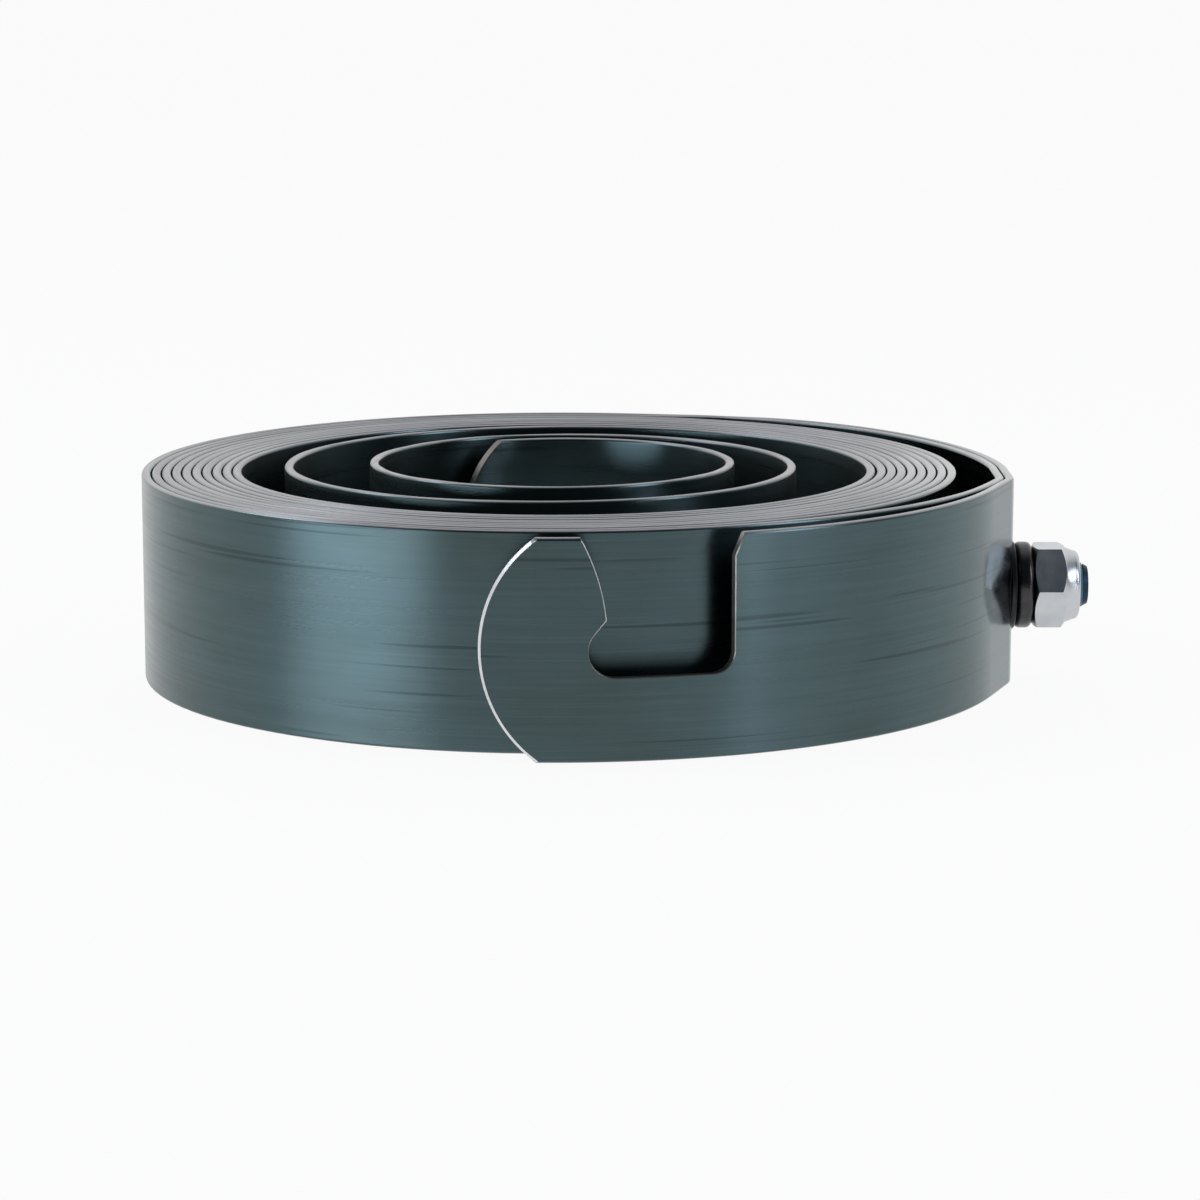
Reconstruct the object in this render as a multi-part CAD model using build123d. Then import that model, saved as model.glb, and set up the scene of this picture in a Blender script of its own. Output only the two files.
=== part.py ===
from build123d import *
from math import acos, atan2, cos, degrees, hypot, radians, sin, sqrt, tan
import os

# Flat spiral spring lying on its edge: one steel strip wound clockwise, seen from above, from the
# eye outwards. The origin is on the coil axis in the plane that the strip's lower edge stands on.
# +Z is the coil axis, the hook crosses the -Y side and the clamp bolt points along +X.
# Headings are the direction of travel along the strip in degrees, clockwise from +X.

# Strip
strip_width = 34.0
strip_thickness = 1.5
turn_gap = 0.15              # between the faces of turns that lie against each other

# Free turns in the eye: quarter turns, each radius a share of the way from the eye to the coil
eye_radius = 26.0            # centre line of the first quarter turn
eye_shares = [0.0, 0.06, 0.13, 0.15, 0.245, 0.415, 0.565, 0.62, 0.75, 0.92, 0.98]
eye_end_sweep = 44.0         # how much of the first quarter turn is there
eye_end_radius = 22.0        # rounded tip at the inner end

# Close turns
coil_inner_radius = 51.65    # inner face of the first close turn
coil_quarters = 34           # quarter turns up to where the clamped turn starts

# Clamped turn: it leaves the coil on a straight, then bends round a knuckle to the flat seat
leave_angle = 8.5            # past the back of the coil
knuckle_radius = 55.0
knuckle_sweep = 44.0
seat_bend_radius = 12.0      # bends at both ends of the under turn's seat
shoulder_bend = 4.0          # bend between the shoulder and the seat
return_radius = 78.0         # the under turn's way back from the seat to the coil
seat_margin = 0.2            # flat left beyond the bolt head's bearing face

# Hook at the outer end
hook_gap = 4.8               # between the coil and the inner face of the hook
hook_bend = 20.0             # bend between the seat and the hook plate
hook_overrun = 11.0          # nose tip past the front of the coil
nose_radius = 21.1
tongue_root = 15.2           # measured back from the nose tip, as are the next three
tongue_tip = 19.1
mouth_round_centre = 20.4
mouth_wall = 38.7
tongue_tip_height = 21.5
tongue_edge_radius = 33.0
mouth_round_radius = 4.0
mouth_floor = 12.8
mouth_corner_radius = 3.4
mouth_chamfer_width = 1.6
mouth_chamfer_height = 3.5

# Clamp bolt, M8 x 16, and what it carries
bolt_y = -5.4
bolt_height = 15.0
thread_diameter = 8.0
bolt_length = 16.0           # under the head
across_flats = 13.0          # head and nut
head_height = 5.3
head_clearance = 0.2         # between the head and the turn behind it
bearing_diameter = 10.0      # raised face under the head
bearing_thickness = 0.4
bolt_point_length = 1.6
bolt_point_step = 0.9
hole_diameter = 8.6
washer_hole = 8.4
flat_washer_diameter = 14.6
flat_washer_thickness = 0.8
spring_washer_diameter = 14.2
spring_washer_thickness = 2.8
spring_washer_split = 0.9
spring_washer_slant = 20.0
nut_height = 7.7
nut_hexagon_height = 5.6
nut_thread_clearance = 0.05
nut_face_diameter = 12.5     # the hexagon's corners are turned off outside this
nut_chamfer_angle = 30.0
collar_base_diameter = 12.4
collar_top_diameter = 11.4
collar_top_height = 7.1      # where the collar's lip starts to roll in
lip_diameter = 8.6           # the pocket narrows to this at the nut's top and keeps the ring in
insert_diameter = 9.6
insert_depth = 2.0
insert_proud = 0.6           # thin lip that the bolt's point pushed out
insert_lip = 0.2

pitch = strip_thickness + turn_gap
half = strip_thickness / 2


def outward(heading):
    return Vector(sin(radians(heading)), cos(radians(heading)))


def forward(heading):
    return Vector(cos(radians(heading)), -sin(radians(heading)))


class Arc:
    """A clockwise stretch of the strip's centre line about a centre."""

    def __init__(self, centre, radius, start, end):
        self.centre, self.radius, self.start, self.end = centre, radius, start, end

    def point(self, heading, offset=0.0):
        return self.centre + outward(heading) * (self.radius + offset)

    def edge(self, offset):
        middle = (self.start + self.end) / 2
        return ThreePointArc(*(self.point(h, offset) for h in (self.start, middle, self.end)))


class Straight:
    """A straight stretch of the strip's centre line."""

    def __init__(self, begin, heading, length):
        self.begin, self.heading, self.length = begin, heading, length

    def edge(self, offset):
        begin = self.begin + outward(self.heading) * offset
        return Line(begin, begin + forward(self.heading) * self.length)


def two_lengths(along, across, target):
    """How far to go along each of two directions to reach a target."""
    area = along.X * across.Y - along.Y * across.X
    first = (target.X * across.Y - target.Y * across.X) / area
    second = (along.X * target.Y - along.Y * target.X) / area
    return first, second


def quarter_turns(radii, centre, heading):
    """Tangent quarter arcs: at each joint the centre gives way as the radius grows."""
    turns = []
    for radius, following in zip(radii, radii[1:] + radii[-1:]):
        turns.append(Arc(centre, radius, heading, heading + 90))
        heading += 90
        centre = centre - outward(heading) * (following - radius)
    return turns


def wound_turns():
    """Free turns of the eye and all turns of the coil, centred on the coil axis."""
    step = pitch / 4
    first_radius = coil_inner_radius + half + step / 2
    free_radii = [eye_radius + (first_radius - eye_radius) * share for share in eye_shares]
    coil_radii = [first_radius + step * i for i in range(coil_quarters + 5)]
    turns = quarter_turns(free_radii + coil_radii, Vector(0, 0), -90)
    shift = Vector(-step / 2, step / 2) - turns[len(free_radii)].centre
    for turn in turns:
        turn.centre = turn.centre + shift
    turns[0].start = -eye_end_sweep
    return turns


def way_to_seat(turn, seat_point):
    """From a coil turn at the back, by a straight, a knuckle and a shoulder, to the flat seat."""
    leave = turn.start + leave_angle
    knuckle_end = leave + knuckle_sweep
    seat_heading = turn.start + 90
    shoulder_end = seat_heading - shoulder_bend
    inset = turn.radius - coil_back.radius
    knuckle = knuckle_radius + inset
    bend_radius = seat_bend_radius + pitch + inset
    bend = Arc(seat_point - outward(seat_heading) * bend_radius, bend_radius, shoulder_end, seat_heading)
    off_coil = turn.point(leave)
    knuckle_step = (outward(knuckle_end) - outward(leave)) * knuckle
    target = bend.point(shoulder_end) - off_coil - knuckle_step
    length, radius = two_lengths(forward(leave), outward(shoulder_end) - outward(knuckle_end), target)
    begin = off_coil + forward(leave) * length
    return [
        Arc(turn.centre, turn.radius, turn.start, leave),
        Straight(off_coil, leave, length),
        Arc(begin - outward(leave) * knuckle, knuckle, leave, knuckle_end),
        Arc(bend.point(shoulder_end, -radius), radius, knuckle_end, shoulder_end),
        bend,
        Straight(seat_point, seat_heading, seat_length),
    ]


def way_back(turn, seat_end):
    """From the seat of the under turn, by a bend and one long arc, back to the coil."""
    bend = seat_end - outward(turn.start) * seat_bend_radius
    to_coil = return_radius - turn.radius
    to_bend = return_radius - seat_bend_radius
    between = turn.centre - bend
    span = hypot(between.X, between.Y)
    corner = acos((span ** 2 + to_coil ** 2 - to_bend ** 2) / (2 * span * to_coil))
    towards = atan2(-between.Y, -between.X) + corner
    centre = turn.centre + Vector(cos(towards), sin(towards)) * to_coil
    bend_heading = turn.start + degrees(atan2(centre.Y - bend.Y, bend.X - centre.X))
    coil_heading = turn.start + degrees(atan2(centre.Y - turn.centre.Y, turn.centre.X - centre.X))
    return [
        Arc(bend, seat_bend_radius, turn.start, bend_heading),
        Arc(centre, return_radius, bend_heading, coil_heading),
        Arc(turn.centre, turn.radius, coil_heading, turn.end),
    ]


def way_to_hook(seat_heading, seat_end):
    """From the seat of the outer turn, by a bend and a straight, to the round hook plate."""
    plate_heading = seat_heading + hook_bend
    front_heading = seat_heading + 90
    bend = Arc(seat_end - outward(seat_heading) * seat_bend_radius, seat_bend_radius,
               seat_heading, plate_heading)
    off_bend = bend.point(plate_heading)
    front = Vector(0, -hook_front)
    length, radius = two_lengths(forward(plate_heading),
                                 outward(front_heading) - outward(plate_heading), front - off_bend)
    centre = front - outward(front_heading) * radius
    nose_heading = front_heading + degrees(hook_overrun / radius)
    return [bend, Straight(off_bend, plate_heading, length),
            Arc(centre, radius, plate_heading, nose_heading)]


# Where the turns lie, from the coil outwards
turns = wound_turns()
close = turns[:len(eye_shares) + coil_quarters]
under_back, under_right, front_left, left_back, coil_back = turns[len(close):]
behind_head = close[-4].centre.X + close[-4].radius + half
seat_face = behind_head + head_clearance + head_height
under_x = seat_face + half
outer_x = under_x + pitch
outer_face = outer_x + half
hook_front = under_right.radius - under_right.centre.Y + half + hook_gap + half
seat_length = bearing_diameter + 2 * seat_margin
seat_start = bolt_y + seat_length / 2
seat_stop = bolt_y - seat_length / 2


def strip_path():
    under = way_to_seat(under_back, Vector(under_x, seat_start))
    under += way_back(under_right, Vector(under_x, seat_stop))
    outer = way_to_seat(coil_back, Vector(outer_x, seat_start))
    outer += way_to_hook(coil_back.start + 90, Vector(outer_x, seat_stop))
    return close + under + [front_left, left_back] + outer


def mouth_outline():
    """Open slot of the hook: x is measured back from the nose tip, y is up from the lower edge."""
    above = strip_width + 1
    root = Vector(tongue_root, strip_width)
    tip = Vector(tongue_tip, tongue_tip_height)
    middle = Vector(mouth_round_centre, mouth_floor + mouth_round_radius)
    reach = tip - middle
    touch = atan2(reach.Y, reach.X) + acos(mouth_round_radius / hypot(reach.X, reach.Y))
    barb = middle + Vector(cos(touch), sin(touch)) * mouth_round_radius
    chamfer_foot = Vector(mouth_wall, strip_width - mouth_chamfer_height)
    chamfer_top = Vector(mouth_wall + mouth_chamfer_width, strip_width)
    floor_end = Vector(mouth_wall - mouth_corner_radius, mouth_floor)
    wall_foot = Vector(mouth_wall, mouth_floor + mouth_corner_radius)
    outline = Curve() + [
        RadiusArc(root, tip, tongue_edge_radius),
        Line(tip, barb),
        ThreePointArc(barb, middle - Vector(mouth_round_radius, 0), middle - Vector(0, mouth_round_radius)),
        Line(middle - Vector(0, mouth_round_radius), floor_end),
        RadiusArc(floor_end, wall_foot, -mouth_corner_radius),
        Polyline(wall_foot, chamfer_foot, chamfer_top, (chamfer_top.X, above), (root.X, above), root),
    ]
    return make_face(outline)


def tip_waste(radius):
    """What is cut off a strip end to leave a round tip at the origin, pointing along -x."""
    middle = strip_width / 2
    reach = radius - sqrt(radius ** 2 - middle ** 2)
    blank = Pos((reach - 1) / 2, middle) * Rectangle(reach + 1, strip_width + 2)
    return blank - Pos(radius, middle) * Circle(radius)


def strip_plane(arc, heading, away):
    """Plane on the centre line, x along the strip and y up; away is 1 if x runs with the strip."""
    return Plane(origin=arc.point(heading), x_dir=forward(heading) * away,
                 z_dir=outward(heading) * -away)


def punch(outline, arc, heading, away):
    """An outline pushed square through the strip and half way across the gap beside it."""
    return extrude(strip_plane(arc, heading, away) * outline, amount=half + hook_gap / 2, both=True)


def make_strip():
    path = strip_path()
    outside = [piece.edge(half) for piece in path]
    inside = [piece.edge(-half) for piece in path]
    ends = [Line(inside[0] @ 0, outside[0] @ 0), Line(outside[-1] @ 1, inside[-1] @ 1)]
    strip = extrude(make_face(Curve() + outside + inside + ends), amount=strip_width)

    plate = path[-1]
    degrees_per_mm = degrees(1 / plate.radius)
    mouth = mouth_outline()
    split = (mouth_round_centre + mouth_wall) / 2
    for reach, side in ((tongue_tip, -1), (mouth_wall, 1)):
        part = mouth & Pos(split + side * strip_width / 2, strip_width / 2) * Rectangle(
            strip_width + 1, strip_width + 4)
        strip -= punch(Pos(-reach, 0) * part, plate, plate.end - reach * degrees_per_mm, -1)
    strip -= punch(tip_waste(nose_radius), plate, plate.end, -1)
    strip -= punch(tip_waste(eye_end_radius), path[0], path[0].start, 1)

    hole_depth = outer_face - seat_face + head_clearance
    hole = bolt_plane(seat_face - head_clearance / 2) * Circle(hole_diameter / 2)
    return strip - extrude(hole, amount=hole_depth)


def bolt_plane(x):
    """Plane square to the bolt at a place along it, its own x along +Y and its y up."""
    return Plane(origin=(x, bolt_y, bolt_height), x_dir=(0, 1, 0), z_dir=(1, 0, 0))


def hexagon(height, turned=0):
    return extrude(RegularPolygon(across_flats / 2, 6, major_radius=False, rotation=turned), amount=height)


def cone(base_diameter, top_diameter, height):
    return Cone(base_diameter / 2, top_diameter / 2, height, align=(Align.CENTER, Align.CENTER, Align.MIN))


def upright_cylinder(diameter, height):
    return Cylinder(diameter / 2, height, align=(Align.CENTER, Align.CENTER, Align.MIN))


def ring(outer_diameter, inner_diameter, height):
    return upright_cylinder(outer_diameter, height) - upright_cylinder(inner_diameter, height)


def make_bolt():
    shank_length = bolt_length - bolt_point_length
    head = Pos(0, 0, -head_height) * hexagon(head_height - bearing_thickness, turned=30)
    bearing = Pos(0, 0, -bearing_thickness) * upright_cylinder(bearing_diameter, bearing_thickness)
    point = cone(thread_diameter, thread_diameter - 2 * bolt_point_step, bolt_point_length)
    bolt = head + bearing + upright_cylinder(thread_diameter, shank_length)
    return bolt_plane(seat_face).location * (bolt + Pos(0, 0, shank_length) * point)


def make_flat_washer():
    washer = ring(flat_washer_diameter, washer_hole, flat_washer_thickness)
    return bolt_plane(outer_face).location * washer


def make_spring_washer():
    washer = ring(spring_washer_diameter, washer_hole, spring_washer_thickness)
    split = Box(spring_washer_split, spring_washer_diameter, 2 * spring_washer_thickness)
    washer -= Pos(0, -spring_washer_diameter / 2, spring_washer_thickness / 2) * Rot(
        0, spring_washer_slant, 0) * split
    return bolt_plane(outer_face + flat_washer_thickness).location * washer


nut_base = outer_face + flat_washer_thickness + spring_washer_thickness
nut_bore = thread_diameter + 2 * nut_thread_clearance


def make_lock_nut():
    seat = nut_height - insert_depth
    section = Polyline(
        (nut_bore / 2, nut_hexagon_height - 1),
        (collar_base_diameter / 2, nut_hexagon_height - 1),
        (collar_base_diameter / 2, nut_hexagon_height),
        (collar_top_diameter / 2, collar_top_height),
        (lip_diameter / 2, nut_height),
        (insert_diameter / 2, seat),
        (nut_bore / 2, seat),
        close=True,
    )
    collar = revolve(Plane.XZ * make_face(section), Axis.Z)
    turned_off = nut_hexagon_height / tan(radians(nut_chamfer_angle))
    nut = hexagon(nut_hexagon_height) - upright_cylinder(insert_diameter, nut_hexagon_height)
    nut &= cone(nut_face_diameter + 2 * turned_off, nut_face_diameter, nut_hexagon_height)
    nut += ring(insert_diameter, nut_bore, seat) + collar
    return bolt_plane(nut_base).location * nut


def make_insert():
    point_start = seat_face + bolt_length - bolt_point_length - nut_base
    tip = nut_height + insert_proud
    tip_radius = nut_bore / 2 - bolt_point_step * (tip - point_start) / bolt_point_length
    section = Polyline(
        (nut_bore / 2, nut_height - insert_depth),
        (insert_diameter / 2, nut_height - insert_depth),
        (lip_diameter / 2, nut_height),
        (tip_radius + insert_lip, tip),
        (tip_radius, tip),
        (nut_bore / 2, point_start),
        close=True,
    )
    return bolt_plane(nut_base).location * revolve(Plane.XZ * make_face(section), Axis.Z)


os.makedirs("parts", exist_ok=True)
export_step(make_strip(), "parts/spring_strip.step")
export_step(make_bolt(), "parts/clamp_bolt.step")
export_step(make_flat_washer(), "parts/flat_washer.step")
export_step(make_spring_washer(), "parts/spring_washer.step")
export_step(make_lock_nut(), "parts/lock_nut.step")
export_step(make_insert(), "parts/nut_insert.step")
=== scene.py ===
# Dressed model of a flat spiral spring: a blued steel strip wound on edge, a punched hook at its outer
# end, and the bolt that clamps its last two turns, with its washers and lock nut.
# Everything is in metres in the part's own frame: +Z is the coil axis, the hook crosses the -Y side
# and the clamp bolt points along +X.
from math import acos, atan2, ceil, cos, pi, radians, sin, sqrt, tan

import bmesh
import bpy
from mathutils import Matrix, Vector


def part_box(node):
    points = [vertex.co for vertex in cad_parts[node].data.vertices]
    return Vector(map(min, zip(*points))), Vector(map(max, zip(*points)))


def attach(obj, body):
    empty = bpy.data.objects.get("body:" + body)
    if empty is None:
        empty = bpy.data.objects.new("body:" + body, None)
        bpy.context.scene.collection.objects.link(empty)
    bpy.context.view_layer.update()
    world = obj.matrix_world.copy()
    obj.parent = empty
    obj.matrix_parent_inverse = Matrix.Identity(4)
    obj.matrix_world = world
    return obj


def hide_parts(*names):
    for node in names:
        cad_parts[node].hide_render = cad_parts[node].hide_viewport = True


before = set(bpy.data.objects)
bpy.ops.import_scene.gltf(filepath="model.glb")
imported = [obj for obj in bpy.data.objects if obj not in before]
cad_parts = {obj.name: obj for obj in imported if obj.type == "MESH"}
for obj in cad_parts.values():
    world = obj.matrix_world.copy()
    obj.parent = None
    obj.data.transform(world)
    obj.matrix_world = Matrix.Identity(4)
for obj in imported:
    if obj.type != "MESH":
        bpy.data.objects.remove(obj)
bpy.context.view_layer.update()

# ---- Spring strip -----------------------------------------------------------------------------
# One strip of hardened spring steel with rolled round edges, wound on edge from the eye outwards
# and blued. Its last turn runs over the clamp to a hook plate, whose slot and round nose are
# punched, and so is the round tip at the inner end.
strip_width = 0.034
strip_thickness = 0.0015
edge_round = 0.00045
turn_pitch = 0.00165
facet = 3.0                                   # degrees between two cross sections
plate_facet = 1.0

eye_start = Vector((-0.016804, 0.027024, 0))  # middle of the strip at the tip in the eye
eye_start_heading = -44.0
eye_radius = 0.026
coil_radius = 0.05260625                      # centre line of the first close quarter turn
eye_shares = [0.06, 0.13, 0.15, 0.245, 0.415, 0.565, 0.62, 0.75, 0.92, 0.98]
quarters_to_clamp = 34

off_coil_sweep, off_coil_length = 8.5, 0.01147022
knuckle_radius, knuckle_sweep = 0.055, 44.0
shoulder_radius, shoulder_sweep = 0.08156403, 33.5
shoulder_bend_sweep = 4.0
seat_length = 0.0104
seat_bend = 0.012
under_bend_sweep = 18.6824
return_radius, return_sweep = 0.078, 60.1147
rejoin_sweep = 11.2029
hook_bend_sweep, hook_straight = 20.0, 0.01092664
plate_radius, plate_sweep = 0.07382912, 78.5367


def outward(heading):
    """Headings are degrees clockwise from +X; the outside of a turn lies to the left of its travel."""
    return Vector((sin(radians(heading)), cos(radians(heading)), 0))


def forward(heading):
    return Vector((cos(radians(heading)), -sin(radians(heading)), 0))


class Path:
    """Carries a cross section, or one point of an outline, through straights and arcs in XY."""

    def __init__(self, mesh, carried, place, heading=0.0):
        self.mesh, self.carried, self.place, self.heading = mesh, carried, place, heading

    def sweep(self, centre, sweep, step, steps):
        made = bmesh.ops.spin(self.mesh, geom=self.carried, cent=centre, axis=(0, 0, 1), dvec=step,
                              angle=-radians(sweep), steps=steps)
        self.carried = made["geom_last"]

    def to(self, place):
        self.sweep(place, 0, place - self.place, 1)
        self.place = place

    def about(self, centre, sweep, steps):
        self.sweep(centre, sweep, Vector(), steps)
        self.place = centre + Matrix.Rotation(-radians(sweep), 3, "Z") @ (self.place - centre)
        self.heading += sweep

    def straight(self, length):
        self.to(self.place + forward(self.heading) * length)

    def bend(self, radius, sweep, facet=facet):
        self.about(self.place - outward(self.heading) * radius, sweep, ceil(sweep / facet))


def section_at(mesh, place, heading):
    """The strip's cross section with its round edges, as a face standing square to the path."""
    bmesh.ops.create_grid(mesh, x_segments=1, y_segments=1, size=0.5,
                          matrix=Matrix.Diagonal((strip_thickness, strip_width, 1, 1)))
    bmesh.ops.bevel(mesh, geom=mesh.verts[:], offset=edge_round, offset_type="OFFSET", segments=3,
                    profile=0.5, affect="VERTICES", material=-1)
    upright = Matrix((outward(heading), (0, 0, 1), -forward(heading))).transposed().to_4x4()
    upright.translation = place + Vector((0, 0, strip_width / 2))
    bmesh.ops.transform(mesh, matrix=upright, verts=mesh.verts)
    return mesh.verts[:] + mesh.edges[:]


def clamped_turn(path, inset):
    """Off the coil by a straight, round the knuckle and the shoulder, to the end of the flat seat."""
    path.straight(off_coil_length)
    path.bend(knuckle_radius - inset, knuckle_sweep)
    path.bend(shoulder_radius - inset, shoulder_sweep)
    path.bend(seat_bend + turn_pitch - inset, shoulder_bend_sweep)
    path.straight(seat_length)


strip = bmesh.new()
path = Path(strip, section_at(strip, eye_start, eye_start_heading), eye_start, eye_start_heading)
path.bend(eye_radius, -eye_start_heading)
for share in eye_shares:
    path.bend(eye_radius + (coil_radius - eye_radius) * share, 90)
radius = coil_radius
for quarter in range(quarters_to_clamp):
    path.bend(radius, 90)
    radius += turn_pitch / 4
path.bend(radius, off_coil_sweep)
clamped_turn(path, inset=turn_pitch)
path.bend(seat_bend, under_bend_sweep)
path.bend(return_radius, return_sweep)
radius += turn_pitch / 4
path.bend(radius, rejoin_sweep)
for quarter in range(2):
    radius += turn_pitch / 4
    path.bend(radius, 90)
path.bend(radius + turn_pitch / 4, off_coil_sweep)
clamped_turn(path, inset=0)
path.bend(seat_bend, hook_bend_sweep)
path.straight(hook_straight)
plate_centre = path.place - outward(path.heading) * plate_radius
path.bend(plate_radius, plate_sweep, plate_facet)
nose_heading = path.heading
nose_rim = [part for part in path.carried if isinstance(part, bmesh.types.BMEdge)]
bmesh.ops.contextual_create(strip, geom=nose_rim)
bmesh.ops.recalc_face_normals(strip, faces=strip.faces)

# The turns don't stand quite level with each other, so their upper edges step up and down a little.
uneven = 0.0001
for corner in strip.verts:
    if corner.co.z > strip_width / 2:
        turn = corner.co.xy.length / turn_pitch
        corner.co.z -= uneven * (0.5 + 0.3 * sin(2.4 * turn) + 0.2 * sin(5.3 * turn))


class Shade:
    """A value in a finish's nodes: arithmetic on it adds the Math nodes."""

    def __init__(self, finish, socket):
        self.finish, self.socket = finish, socket

    def math(self, operation, *values):
        return self.finish.node("ShaderNodeMath", {"operation": operation}, dict(enumerate(values)))["Value"]

    def __add__(self, other):
        return self.math("ADD", self, other)

    def __sub__(self, other):
        return self.math("SUBTRACT", self, other)

    def __rsub__(self, other):
        return self.math("SUBTRACT", other, self)

    def __mul__(self, other):
        return self.math("MULTIPLY", self, other)

    def __abs__(self):
        return self.math("ABSOLUTE", self)

    __radd__, __rmul__ = __add__, __mul__


class Finish:
    """The nodes of a material or of the world."""

    def __init__(self, owner):
        self.owner = owner
        owner.use_nodes = True
        self.tree = owner.node_tree
        self.tree.nodes.clear()

    def node(self, kind, settings={}, inputs={}):
        """Adds a node: its settings first, then the values or links of its sockets, by name or number."""
        made = self.tree.nodes.new(kind)
        for name, value in settings.items():
            setattr(made, name, value)
        for name, value in inputs.items():
            socket = made.inputs[name] if isinstance(name, int) else next(
                s for s in made.inputs if name in (s.identifier, s.name) and s.enabled)
            if isinstance(value, Shade):
                self.tree.links.new(value.socket, socket)
            else:
                socket.default_value = value
        return {s.name: Shade(self, s) for s in made.outputs if s.enabled}

    def blend(self, factor, first, second):
        """Mixes two colours, each a link or red, green and blue."""
        first, second = (c if isinstance(c, Shade) else (*c, 1) for c in (first, second))
        return self.node("ShaderNodeMix", {"data_type": "RGBA"},
                         {"Factor": factor, "A": first, "B": second})["Result"]

    def coordinate(self, kind="Object"):
        """X, Y and Z of the place in the piece, or of another texture coordinate."""
        return self.node("ShaderNodeSeparateXYZ", {}, {"Vector": self.node("ShaderNodeTexCoord")[kind]})

    def noise(self, where, detail, roughness):
        return self.node("ShaderNodeTexNoise", {}, {"Vector": where, "Scale": 1.0, "Detail": detail,
                                                    "Roughness": roughness})["Fac"]

    def grain(self, *scale, detail=2.0, roughness=0.5, shift=(0, 0, 0)):
        """Noise in the piece's own coordinates, its scale per metre the same each way or given for X, Y, Z."""
        where = self.node("ShaderNodeTexCoord")["Object"]
        scale = scale if len(scale) == 3 else scale * 3
        where = self.node("ShaderNodeMapping", {}, {"Vector": where, "Location": shift, "Scale": scale})
        return self.noise(where["Vector"], detail, roughness)

    def between(self, value, low, high, to_low=0.0, to_high=1.0):
        """Spreads the values from low to high over the range from to_low to to_high, and clamps the rest."""
        return self.node("ShaderNodeMapRange", {"clamp": True}, {
            "Value": value, "From Min": low, "From Max": high, "To Min": to_low, "To Max": to_high})["Result"]

    def bump(self, height, distance, strength=1.0):
        return self.node("ShaderNodeBump", {}, {"Height": height, "Distance": distance,
                                                "Strength": strength})["Normal"]

    def surface(self, **sockets):
        """A Principled shader, its sockets' names written with underscores."""
        sockets = {name.replace("_", " "): value if isinstance(value, (Shade, float)) else (*value, 1)
                   for name, value in sockets.items()}
        return self.node("ShaderNodeBsdfPrincipled", {}, sockets)["BSDF"]

    def close(self, shader):
        self.node("ShaderNodeOutputMaterial", {}, {"Surface": shader})
        return self.owner


def blued_steel():
    """Dark teal oxide with fine lines along the strip, drawn-out scratches and paler rolled edges.

    The rolled edges show lines that follow the turns, and the strip is rubbed smoother near the clamp.
    """
    finish = Finish(bpy.data.materials.new("blued_steel"))
    lines = finish.grain(30, 30, 2600, detail=3.0)
    streaks = finish.grain(22, 22, 420, detail=4.0, roughness=0.6, shift=(3, 7, 1))
    clouds = finish.grain(42, 42, 60, detail=3.0, shift=(9, 2, 5))
    scratches = finish.between(finish.grain(16, 16, 900, detail=1.0, shift=(1, 4, 8)), 0.66, 0.70)
    rim = finish.between(abs(finish.coordinate("Normal")["Z"]), 0.45, 0.9)
    place = finish.coordinate()
    level = finish.node("ShaderNodeCombineXYZ", {}, {"X": place["X"], "Y": place["Y"]})["Vector"]
    radius = finish.node("ShaderNodeVectorMath", {"operation": "LENGTH"}, {0: level})["Value"]
    along_turns = finish.node("ShaderNodeCombineXYZ", {}, {
        "X": radius * 1500, "Y": place["X"] * 40, "Z": place["Y"] * 40})["Vector"]
    rolled = finish.noise(along_turns, 3.0, 0.6)
    tone = finish.blend(finish.between(clouds, 0.3, 0.7), (0.070, 0.102, 0.104), (0.080, 0.122, 0.134))
    tone = finish.blend(finish.between(streaks, 0.42, 0.72) * 0.30, tone, (0.105, 0.150, 0.160))
    tone = finish.blend(finish.between(lines, 0.35, 0.65) * 0.16, tone, (0.045, 0.070, 0.078))
    tone = finish.blend(scratches * 0.45, tone, (0.030, 0.040, 0.044))
    worn = finish.blend(finish.between(rolled, 0.35, 0.65), (0.24, 0.24, 0.25), (0.37, 0.37, 0.385))
    tone = finish.blend(rim, tone, worn)
    rubbed = finish.between(place["X"], 0.052, 0.066)
    gloss = 0.22 + streaks * 0.10 + finish.between(lines, 0.3, 0.7) * 0.05 + rim * 0.08 - rubbed * 0.14
    return finish.close(finish.surface(
        Base_Color=tone, Metallic=1.0, Roughness=gloss, Anisotropic=0.7, Anisotropic_Rotation=0.25,
        Normal=finish.bump(lines + streaks, 0.000004)))


def sheared_steel(name, dark, light):
    """Bare edge left by the punch, torn here and there; it turns darker and browner from x = 8 mm on, and
    below a height of about 2 cm near x = 0.
    """
    finish = Finish(bpy.data.materials.new(name))
    tears = finish.grain(2500, detail=2.0)
    place = finish.coordinate()
    # Darker, browner cut faces from x = 8 mm on, fully past 14 mm, and near x = 0 below a height of 17 to 21
    # mm.
    low_down = finish.between(place["Z"], 0.017, 0.021, 1.0, 0.0)
    darker_browner = (finish.between(place["X"], 0.008, 0.014, 0.0, 0.9)
               + finish.between(place["X"], -0.001, 0.002) * low_down)
    tone = finish.blend(darker_browner, finish.blend(tears, dark, light), (0.20, 0.185, 0.175))
    return finish.close(finish.surface(
        Base_Color=tone, Metallic=1.0, Roughness=0.32 + tears * 0.2, Normal=finish.bump(tears, 0.00002)))


def as_object(name, mesh, *finishes):
    """Turns a bmesh into an object at the origin with its finishes."""
    data = bpy.data.meshes.new(name)
    mesh.to_mesh(data)
    mesh.free()
    for finish in finishes:
        data.materials.append(finish)
    piece = bpy.data.objects.new(name, data)
    bpy.context.scene.collection.objects.link(piece)
    return piece


def settle(piece):
    """Applies the piece's modifiers to its mesh."""
    bpy.context.view_layer.update()
    shaped = bpy.data.meshes.new_from_object(piece.evaluated_get(bpy.context.evaluated_depsgraph_get()))
    piece.modifiers.clear()
    piece.data = shaped


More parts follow.
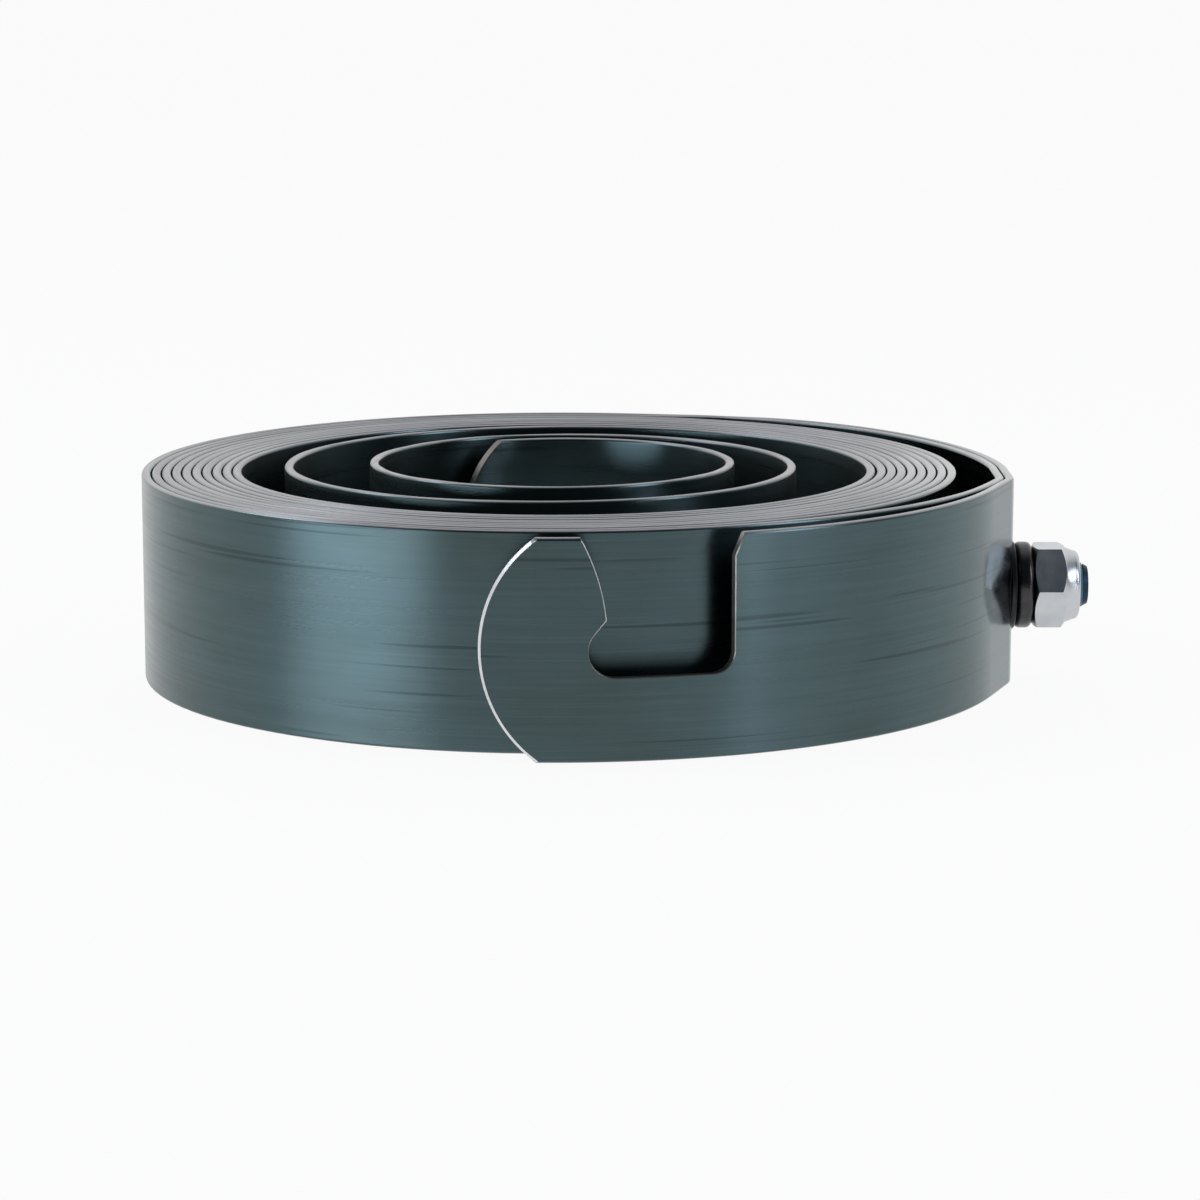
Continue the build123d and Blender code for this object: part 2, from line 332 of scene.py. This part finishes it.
def carve(piece, tool, operation="DIFFERENCE"):
    """Applies an exact Boolean, whose new faces keep the tool's finish, and removes the tool."""
    step = piece.modifiers.new("carve", "BOOLEAN")
    step.operation, step.solver, step.material_mode, step.object = operation, "EXACT", "TRANSFER", tool
    settle(piece)
    bpy.data.objects.remove(tool)


def break_edges(piece, width, cut=1):
    """Bevels the edges that the last cut left square on the strip's two sides, in the cut's own finish."""
    sliver = 4e-5
    mesh = bmesh.new()
    mesh.from_mesh(piece.data)
    bmesh.ops.remove_doubles(mesh, verts=mesh.verts, dist=sliver)
    square = [edge for edge in mesh.edges if len(edge.link_faces) == 2
              and {face.material_index for face in edge.link_faces} == {0, cut}
              and edge.calc_face_angle() > radians(70)
              and all(abs(face.normal.z) < 0.3 for face in edge.link_faces if face.material_index == 0)]
    bmesh.ops.bevel(mesh, geom=square, offset=width, offset_type="OFFSET", segments=1, profile=0.5,
                    affect="EDGES", clamp_overlap=False, material=cut)
    mesh.to_mesh(piece.data)
    mesh.free()


def smooth(piece, sharp_above=38):
    """Smooth faces with sharp corners, whose flat faces keep their own direction."""
    piece.data.polygons.foreach_set("use_smooth", [True] * len(piece.data.polygons))
    piece.data.set_sharp_from_angle(angle=radians(sharp_above))
    step = piece.modifiers.new("weighted", "WEIGHTED_NORMAL")
    step.keep_sharp = True
    settle(piece)


blued = blued_steel()
sheared = sheared_steel("sheared_steel", (0.58, 0.58, 0.60), (0.86, 0.86, 0.87))
# A darker, browner copy of the bare cut finish, used for the cut at the inner tip.
dark_sheared = sheared_steel("dark_sheared_steel", (0.13, 0.12, 0.11), (0.24, 0.22, 0.20))
spring = as_object("spring", strip, blued)

# The punches: each outline is drawn flat, with x back from the tip and y up from the lower edge,
# then pushed through the strip square to it. The slot is wide enough for two such cuts, one for
# the tongue and one for the wall, each square to the curved plate where it cuts.
nose_radius = 0.0211
eye_tip_radius = 0.022
tongue_root, tongue_tip, tongue_tip_height = 0.0152, 0.0191, 0.0215
tongue_edge_radius = 0.033
slot_round_centre, slot_round_radius = 0.0204, 0.004
slot_floor, slot_wall, slot_corner_radius = 0.0128, 0.0387, 0.0034
slot_chamfer_width, slot_chamfer_height = 0.0016, 0.0035
punch_reach = 0.0028
slot_edge_break = 0.00014
nose_edge_break = 0.0005
beyond = 0.001                                # cuts run past the strip's edges by this much or more
tip_facets, tongue_facets, round_facets, corner_facets = 40, 12, 24, 12
weld = 1e-7


def flat(x, y):
    return Vector((x, y, 0))


def degrees_between(centre, start, end):
    """Clockwise angle from start to end, seen from the centre."""
    start, end = start - centre, end - centre
    return (atan2(start.y, start.x) - atan2(end.y, end.x)) * 180 / pi % 360


def punch(outline, middle, heading, away, finish):
    """Closes an outline, pushes it through the strip and places it; away is -1 if x runs against the path."""
    mesh = outline.mesh
    bmesh.ops.remove_doubles(mesh, verts=mesh.verts, dist=weld)
    face = bmesh.ops.contextual_create(mesh, geom=mesh.edges)["faces"]
    wall = bmesh.ops.extrude_face_region(mesh, geom=face)["geom"]
    far_side = [part for part in wall if isinstance(part, bmesh.types.BMVert)]
    bmesh.ops.translate(mesh, vec=(0, 0, 2 * punch_reach), verts=far_side)
    bmesh.ops.translate(mesh, vec=(0, 0, -punch_reach), verts=mesh.verts)
    square = Matrix((forward(heading) * away, (0, 0, 1), -away * outward(heading))).transposed().to_4x4()
    square.translation = middle
    bmesh.ops.transform(mesh, matrix=square, verts=mesh.verts)
    bmesh.ops.recalc_face_normals(mesh, faces=mesh.faces)
    return as_object("punch", mesh, finish)


def outline_from(place):
    mesh = bmesh.new()
    return Path(mesh, [mesh.verts.new(place)], place)


def tip_cut(radius):
    """What is sheared off past a round tip."""
    middle = strip_width / 2
    reach = radius - sqrt(radius ** 2 - middle ** 2)
    foot, top, centre = flat(reach, 0), flat(reach, strip_width), flat(radius, middle)
    outline = outline_from(foot)
    outline.about(centre, degrees_between(centre, foot, top), tip_facets)
    for corner in (top + flat(0, beyond), flat(-beyond, strip_width + beyond), flat(-beyond, -beyond),
                   foot - flat(0, beyond), foot):
        outline.to(corner)
    return outline


slot_round = flat(slot_round_centre, slot_floor + slot_round_radius)
tip_of_tongue = flat(tongue_tip, tongue_tip_height)
overlap = 0.0005                              # of the two cuts
split = slot_wall - slot_corner_radius - overlap
above_strip = strip_width + 2 * beyond


def tongue_cut():
    """Slot's left part: the tongue's curved edge, its point and the round end, down to the floor."""
    root = flat(tongue_root, strip_width)
    chord = tip_of_tongue - root
    rise = sqrt(tongue_edge_radius ** 2 - (chord.length / 2) ** 2)
    edge_centre = (root + tip_of_tongue) / 2 - Vector((-chord.y, chord.x, 0)).normalized() * rise
    reach = tip_of_tongue - slot_round
    touch = atan2(reach.y, reach.x) + acos(slot_round_radius / reach.length)
    barb = slot_round + flat(cos(touch), sin(touch)) * slot_round_radius
    foot = slot_round - flat(0, slot_round_radius)
    outline = outline_from(root)
    outline.about(edge_centre, degrees_between(edge_centre, root, tip_of_tongue), tongue_facets)
    outline.to(barb)
    outline.about(slot_round, degrees_between(slot_round, barb, foot) - 360, round_facets)
    for corner in (flat(split + overlap, slot_floor), flat(split + overlap, above_strip),
                   flat(tongue_root, above_strip), root):
        outline.to(corner)
    return outline


def wall_cut():
    """Slot's right part: the floor's corner, the wall and the chamfer at its top."""
    corner_centre = flat(slot_wall - slot_corner_radius, slot_floor + slot_corner_radius)
    start, mouth = split - overlap, slot_wall + slot_chamfer_width
    outline = outline_from(flat(start, slot_floor))
    outline.to(corner_centre - flat(0, slot_corner_radius))
    outline.about(corner_centre, -90, corner_facets)
    for corner in (flat(slot_wall, strip_width - slot_chamfer_height), flat(mouth, strip_width),
                   flat(mouth, above_strip), flat(start, above_strip), flat(start, slot_floor)):
        outline.to(corner)
    return outline


def punch_plate(outline, reach):
    heading = nose_heading - reach / plate_radius * 180 / pi
    bmesh.ops.translate(outline.mesh, vec=(-reach, 0, 0), verts=outline.mesh.verts)
    carve(spring, punch(outline, plate_centre + outward(heading) * plate_radius, heading, -1, sheared))


punch_plate(tongue_cut(), tongue_tip)
punch_plate(wall_cut(), slot_wall)
break_edges(spring, slot_edge_break)
punch_plate(tip_cut(nose_radius), 0)
break_edges(spring, nose_edge_break)
carve(spring, punch(tip_cut(eye_tip_radius), eye_start, eye_start_heading, 1, dark_sheared))
break_edges(spring, slot_edge_break, cut=2)

# The bolt hole goes through both turns of the seat.
bolt_hole = 0.0086
drill_length, drill_lead = 0.004, 0.0004
lathe_facets = 72
under_bolt, past_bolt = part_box("clamp_bolt")
washer_low, washer_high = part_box("flat_washer")
bolt_y, bolt_z = (washer_low.y + washer_high.y) / 2, (washer_low.z + washer_high.z) / 2


def along_bolt(x):
    """Turns a piece made about its own Y axis to lie along the bolt, from x outwards."""
    return Matrix.Translation((x, bolt_y, bolt_z)) @ Matrix.Rotation(-pi / 2, 4, "Z")


def lathe(mesh):
    """Spins a profile in XY once round Y."""
    bmesh.ops.spin(mesh, geom=mesh.verts[:] + mesh.edges[:], cent=(0, 0, 0), axis=(0, 1, 0), angle=2 * pi,
                   steps=lathe_facets, use_merge=True)
    bmesh.ops.remove_doubles(mesh, verts=mesh.verts, dist=weld)
    bmesh.ops.recalc_face_normals(mesh, faces=mesh.faces)


def turned(profile):
    """A piece turned on the lathe: a profile of radius and height, closed on the axis or on itself."""
    outline = outline_from(flat(*profile[0]))
    for radius, height in profile[1:]:
        outline.to(flat(radius, height))
    lathe(outline.mesh)
    return outline.mesh


def lay(mesh, x):
    bmesh.ops.transform(mesh, matrix=along_bolt(x), verts=mesh.verts)
    return mesh


bolt_seat = washer_low.x - turn_pitch - strip_thickness
drill = turned([(0, 0), (bolt_hole / 2, 0), (bolt_hole / 2, drill_length), (0, drill_length)])
carve(spring, as_object("drill", lay(drill, bolt_seat - drill_lead), sheared))
smooth(spring)
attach(spring, "root")
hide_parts("spring_strip")

# ---- Flat washer ------------------------------------------------------------------------------
# Black steel washer punched from sheet, between the strip and the spring washer. The punch leaves
# its upper rims rounded.
washer_hole = 0.0084
rim_round = 0.00025


def black_oxide(name, tone, gloss):
    """Thin black oxide over turned or punched steel, with a light film of oil."""
    finish = Finish(bpy.data.materials.new(name))
    mottle = finish.grain(900, detail=3.0)
    return finish.close(finish.surface(
        Base_Color=finish.blend(mottle, [0.6 * c for c in tone], [1.4 * c for c in tone]), Metallic=1.0,
        Roughness=gloss + mottle * 0.15, Normal=finish.bump(mottle, 0.00001)))


def fit(piece, node):
    """Finishes a fastener and puts it in its node's place."""
    smooth(piece)
    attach(piece, "root")
    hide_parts(node)


radius = (washer_high.z - washer_low.z) / 2
thickness = washer_high.x - washer_low.x
mesh = turned([(washer_hole / 2, 0), (radius, 0), (radius, thickness - rim_round),
               (radius - rim_round, thickness), (washer_hole / 2, thickness), (washer_hole / 2, 0)])
washer_steel = black_oxide("flat_washer_steel", (0.035, 0.035, 0.038), 0.35)
fit(as_object("washer_flat", lay(mesh, washer_low.x), washer_steel), "flat_washer")

# ---- Spring washer ----------------------------------------------------------------------------
# Split ring of black spring steel wire with a rolled round crown, pressed flat under the nut. The
# split is sheared on a slant.
split_gap = 0.0009
split_slant = 20.0
crown_round = 0.0009

low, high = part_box("spring_washer")
radius, thickness = (high.y - low.y) / 2, high.x - low.x
middle = (radius + washer_hole / 2) / 2
mesh = bmesh.new()
bmesh.ops.create_grid(mesh, x_segments=1, y_segments=1, size=0.5,
                      matrix=Matrix.Diagonal((radius - washer_hole / 2, thickness, 1, 1)))
bmesh.ops.translate(mesh, vec=(middle, thickness / 2, 0), verts=mesh.verts)
crown = [corner for corner in mesh.verts if corner.co.x > middle]
bmesh.ops.bevel(mesh, geom=crown, offset=crown_round, offset_type="OFFSET", segments=5, profile=0.5,
                affect="VERTICES", material=-1)
bmesh.ops.delete(mesh, geom=mesh.faces[:], context="FACES_ONLY")
lathe(mesh)
washer_black = black_oxide("spring_washer_steel", (0.060, 0.058, 0.060), 0.22)
spring_ring = as_object("washer_spring", lay(mesh, low.x), washer_black)
mesh = bmesh.new()
bmesh.ops.create_cube(mesh, size=1.0, matrix=Matrix.Rotation(radians(split_slant), 4, "Z")
                      @ Matrix.Diagonal((split_gap, 3 * thickness, 2 * radius, 1)))
bmesh.ops.translate(mesh, vec=(0, thickness / 2, -radius), verts=mesh.verts)
carve(spring_ring, as_object("shear", lay(mesh, low.x), washer_black))
fit(spring_ring, "spring_washer")

# ---- Clamp bolt -------------------------------------------------------------------------------
# Black hexagon bolt, M8 x 16, threaded up to its head. The head sits in the gap inside the clamped
# turns, and the chamfered point stands just out of the nut.
thread_radius, thread_root, thread_pitch = 0.00394, 0.00325, 0.00125
thread_facets = 36
across_flats = 0.013
corner_radius = across_flats / 2 / cos(pi / 6)
past_corners = corner_radius + 0.0002         # a turned blank reaches past the hexagon
head_rim = across_flats / 2 - 0.0003
head_chamfer = (past_corners - head_rim) * tan(radians(30))
bearing_radius, bearing_step = 0.005, 0.0004
point_length, point_radius = 0.0016, 0.0031
screw_sunk = 0.001                            # the screw's foot stands this deep in the head


def hexagon(height, turn=0.0):
    """Hexagon bar about Y, standing on y = 0; its corners point along X unless it is turned."""
    mesh = bmesh.new()
    bmesh.ops.create_cone(mesh, cap_ends=True, segments=6, radius1=corner_radius, radius2=corner_radius,
                          depth=height,
                          matrix=Matrix.Translation((0, height / 2, 0)) @ Matrix.Rotation(-pi / 2, 4, "X")
                          @ Matrix.Rotation(radians(30 + turn), 4, "Z"))
    return mesh


def thread(length):
    """Closed screw thread about Y: one V of its profile carried along the helix, past both ends."""
    outline = outline_from(flat(thread_root, -2 * thread_pitch))
    mesh = outline.mesh
    for radius, share in ((thread_root, 0.14), (thread_radius, 0.48), (thread_radius, 0.66),
                          (thread_root, 1.0)):
        outline.to(flat(radius, (share - 2) * thread_pitch))
    turns = ceil(length / thread_pitch) + 3
    bmesh.ops.spin(mesh, geom=mesh.verts[:] + mesh.edges[:], cent=(0, 0, 0), axis=(0, 1, 0),
                   angle=-2 * pi * turns, dvec=(0, thread_pitch / thread_facets, 0),
                   steps=turns * thread_facets)
    bmesh.ops.remove_doubles(mesh, verts=mesh.verts, dist=10 * weld)
    bmesh.ops.holes_fill(mesh, edges=[edge for edge in mesh.edges if edge.is_boundary])
    bmesh.ops.recalc_face_normals(mesh, faces=mesh.faces)
    return mesh


bolt_length = past_bolt.x - bolt_seat
head_height = bolt_seat - under_bolt.x
bolt_black = black_oxide("bolt_steel", (0.024, 0.045, 0.068), 0.38)
bolt = as_object("bolt", hexagon(head_height, 30), bolt_black)
bearing_height = head_height - bearing_step
blank = turned([(0, 0), (head_rim, 0), (past_corners, head_chamfer), (past_corners, bearing_height),
                (bearing_radius, bearing_height), (bearing_radius, head_height), (0, head_height)])
carve(bolt, as_object("blank", blank, bolt_black), "INTERSECT")
full = head_height + bolt_length
screw = as_object("screw", thread(full), bolt_black)
screw_foot = head_height - screw_sunk
blank = turned([(0, screw_foot), (thread_radius, screw_foot), (thread_radius, full - point_length),
                (point_radius, full), (0, full)])
carve(screw, as_object("blank", blank, bolt_black), "INTERSECT")
carve(bolt, screw, "UNION")
bolt.data.transform(along_bolt(under_bolt.x))
fit(bolt, "clamp_bolt")

# ---- Lock nut ---------------------------------------------------------------------------------
# Zinc plated steel hexagon with a collar whose lip is rolled in over the nylon ring. Both ends of
# the hexagon are chamfered, the outer one down to the collar.
nut_height = 0.0077
hexagon_height = 0.0056
nut_bore = 0.0081
nut_face_radius = across_flats / 2 - 0.0006
low_chamfer, high_chamfer = 0.0009, 0.0045    # heights where the two chamfers meet the corners
collar_radius, collar_foot_radius = 0.0062, 0.0061
collar_foot = hexagon_height - 0.001
lip_bend, lip_bend_radius = Vector((0.0048, 0.0069, 0)), 0.0009
lip_bend_sweep, lip_facets = 78.0, 7
lip_radius = 0.0043
lip_edge, lip_underside = nut_height - 0.0004, nut_height - 0.0006
pocket_radius, pocket_floor = lip_radius + 0.0005, hexagon_height + 0.0002


def zinc_plate():
    """Bright zinc over a forged surface: small ripples, dull in the hollows."""
    finish = Finish(bpy.data.materials.new("zinc_plate"))
    ripple = finish.grain(420, detail=2.0)
    stain = finish.grain(160, detail=3.0, shift=(2, 5, 1))
    tone = finish.blend(finish.between(stain, 0.35, 0.7), (0.46, 0.48, 0.51), (0.62, 0.63, 0.65))
    return finish.close(finish.surface(Base_Color=tone, Metallic=1.0, Roughness=0.2 + stain * 0.22,
                                       Normal=finish.bump(ripple, 0.00006)))


zinc = zinc_plate()
low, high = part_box("lock_nut")
nut = as_object("nut", hexagon(hexagon_height), zinc)
blank = turned([(nut_bore / 2, 0), (nut_face_radius, 0), (past_corners, low_chamfer),
                (past_corners, high_chamfer), (collar_radius, hexagon_height),
                (nut_bore / 2, hexagon_height), (nut_bore / 2, 0)])
carve(nut, as_object("blank", blank, zinc), "INTERSECT")
start = flat(nut_bore / 2, collar_foot)
collar = outline_from(start)
for place in (flat(collar_foot_radius, collar_foot), flat(collar_radius, hexagon_height),
              lip_bend + flat(lip_bend_radius, 0)):
    collar.to(place)
collar.about(lip_bend, -lip_bend_sweep, lip_facets)
for place in (flat(lip_radius, nut_height), flat(lip_radius, lip_edge), flat(pocket_radius, lip_underside),
              flat(pocket_radius, pocket_floor), flat(nut_bore / 2, pocket_floor), start):
    collar.to(place)
lathe(collar.mesh)
carve(nut, as_object("collar", collar.mesh, zinc), "UNION")
nut.data.transform(along_bolt(low.x))
fit(nut, "lock_nut")

# ---- Nylon ring -------------------------------------------------------------------------------
# Blue nylon ring moulded to fill the nut's collar, which is rolled in over it. The bolt has pushed
# its inner edge out past the collar's mouth into a thin lip round the point.
def blue_nylon():
    finish = Finish(bpy.data.materials.new("blue_nylon"))
    chalk = finish.grain(700, detail=2.0)
    tone = finish.blend(chalk, (0.018, 0.13, 0.22), (0.035, 0.20, 0.30))
    return finish.close(finish.surface(Base_Color=tone, Roughness=0.38 + chalk * 0.15,
                                       Subsurface_Weight=0.1, Normal=finish.bump(chalk, 0.00002)))


# The ring's section runs up the pocket's wall, in under the lip, out through the collar's mouth and
# back along the bolt.
low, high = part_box("nut_insert")
mouth = nut_height - (low.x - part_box("lock_nut")[0].x)
pushed_out = high.x - low.x
ring_radius, throat = pocket_radius - 0.00005, lip_radius - 0.00002
mesh = turned([(nut_bore / 2, 0), (ring_radius, 0), (ring_radius, mouth - 0.00065),
               (throat, mouth - 0.00045), (throat, mouth - 0.0001), (lip_radius - 0.00025, mouth + 0.00005),
               (lip_radius - 0.0007, pushed_out), (lip_radius - 0.00078, pushed_out),
               (nut_bore / 2, mouth - 0.0004), (nut_bore / 2, 0)])
fit(as_object("nylon_ring", lay(mesh, low.x), blue_nylon()), "nut_insert")

# ---- Stage ------------------------------------------------------------------------------------
# A wide white floor runs out under a bright backdrop behind the part, and the room in front is dim.
# Two low panels stand in front, a long one at the left and a short one at the right, and two small
# ones hang higher up at the sides.
floor_radius = 6.0


def floor_white():
    """White to the eye and in reflections, and still darker where the part shades it."""
    finish = Finish(bpy.data.materials.new("floor_white"))
    rays = finish.node("ShaderNodeLightPath")
    seen = rays["Is Camera Ray"] + rays["Is Glossy Ray"] + rays["Is Transmission Ray"]
    lit = finish.surface(Base_Color=(0.85, 0.85, 0.85), Roughness=0.9)
    white = finish.node("ShaderNodeEmission", {}, {"Color": (1, 1, 1, 1), "Strength": 1.0})["Emission"]
    return finish.close(finish.node("ShaderNodeMixShader", {}, {0: seen * 0.93, 1: lit, 2: white})["Shader"])


def studio():
    """A bright back and a dim front, which is a little cooler and lighter overhead."""
    finish = Finish(bpy.data.worlds.new("studio"))
    way = finish.coordinate("Generated")
    behind = finish.between(way["Y"] - way["X"] * 0.1, -0.15, 0.45)
    above = finish.between(way["Z"], 0.35, 0.8)
    light = 0.03 + behind * 0.97 + above * (1 - behind) * 0.05
    shade = finish.node("ShaderNodeCombineColor", {}, {
        0: light - above * 0.014, 1: light, 2: light + above * 0.018})["Color"]
    sky = finish.node("ShaderNodeBackground", {}, {"Color": shade, "Strength": 1.0})["Background"]
    finish.node("ShaderNodeOutputWorld", {}, {"Surface": sky})
    return finish.owner


def soft_lamp(name, place, width, height, power):
    """A round lit panel of slightly cool light that faces the part."""
    panel = bpy.data.lights.new(name, "AREA")
    panel.color = (0.93, 1.0, 1.10)
    panel.shape, panel.size, panel.size_y, panel.energy = "ELLIPSE", width, height, power
    lamp = bpy.data.objects.new(name, panel)
    lamp.location = place
    lamp.rotation_euler = (-lamp.location).to_track_quat("-Z", "Y").to_euler()
    bpy.context.scene.collection.objects.link(lamp)


floor_mesh = bmesh.new()
bmesh.ops.create_circle(floor_mesh, cap_ends=True, segments=64, radius=floor_radius)
as_object("floor", floor_mesh, floor_white())

scene = bpy.context.scene
scene.world = studio()
scene.view_settings.view_transform = "Standard"

soft_lamp("low_left", (-0.91, -0.68, 0.08), 0.92, 0.16, 4.4)
soft_lamp("low_right", (0.86, -0.80, 0.07), 0.20, 0.14, 0.45)
soft_lamp("high_left", (-0.60, 0.05, 0.55), 0.35, 0.35, 1.1)
soft_lamp("high_right", (0.75, -0.38, 0.46), 0.26, 0.60, 2.2)

view = bpy.data.cameras.new("camera")
view.lens = 119.51
camera = bpy.data.objects.new("camera", view)
camera.location = (0.00714, -0.6535, 0.1283)
camera.rotation_euler = (radians(79.861), 0, 0)
scene.collection.objects.link(camera)
scene.camera = camera
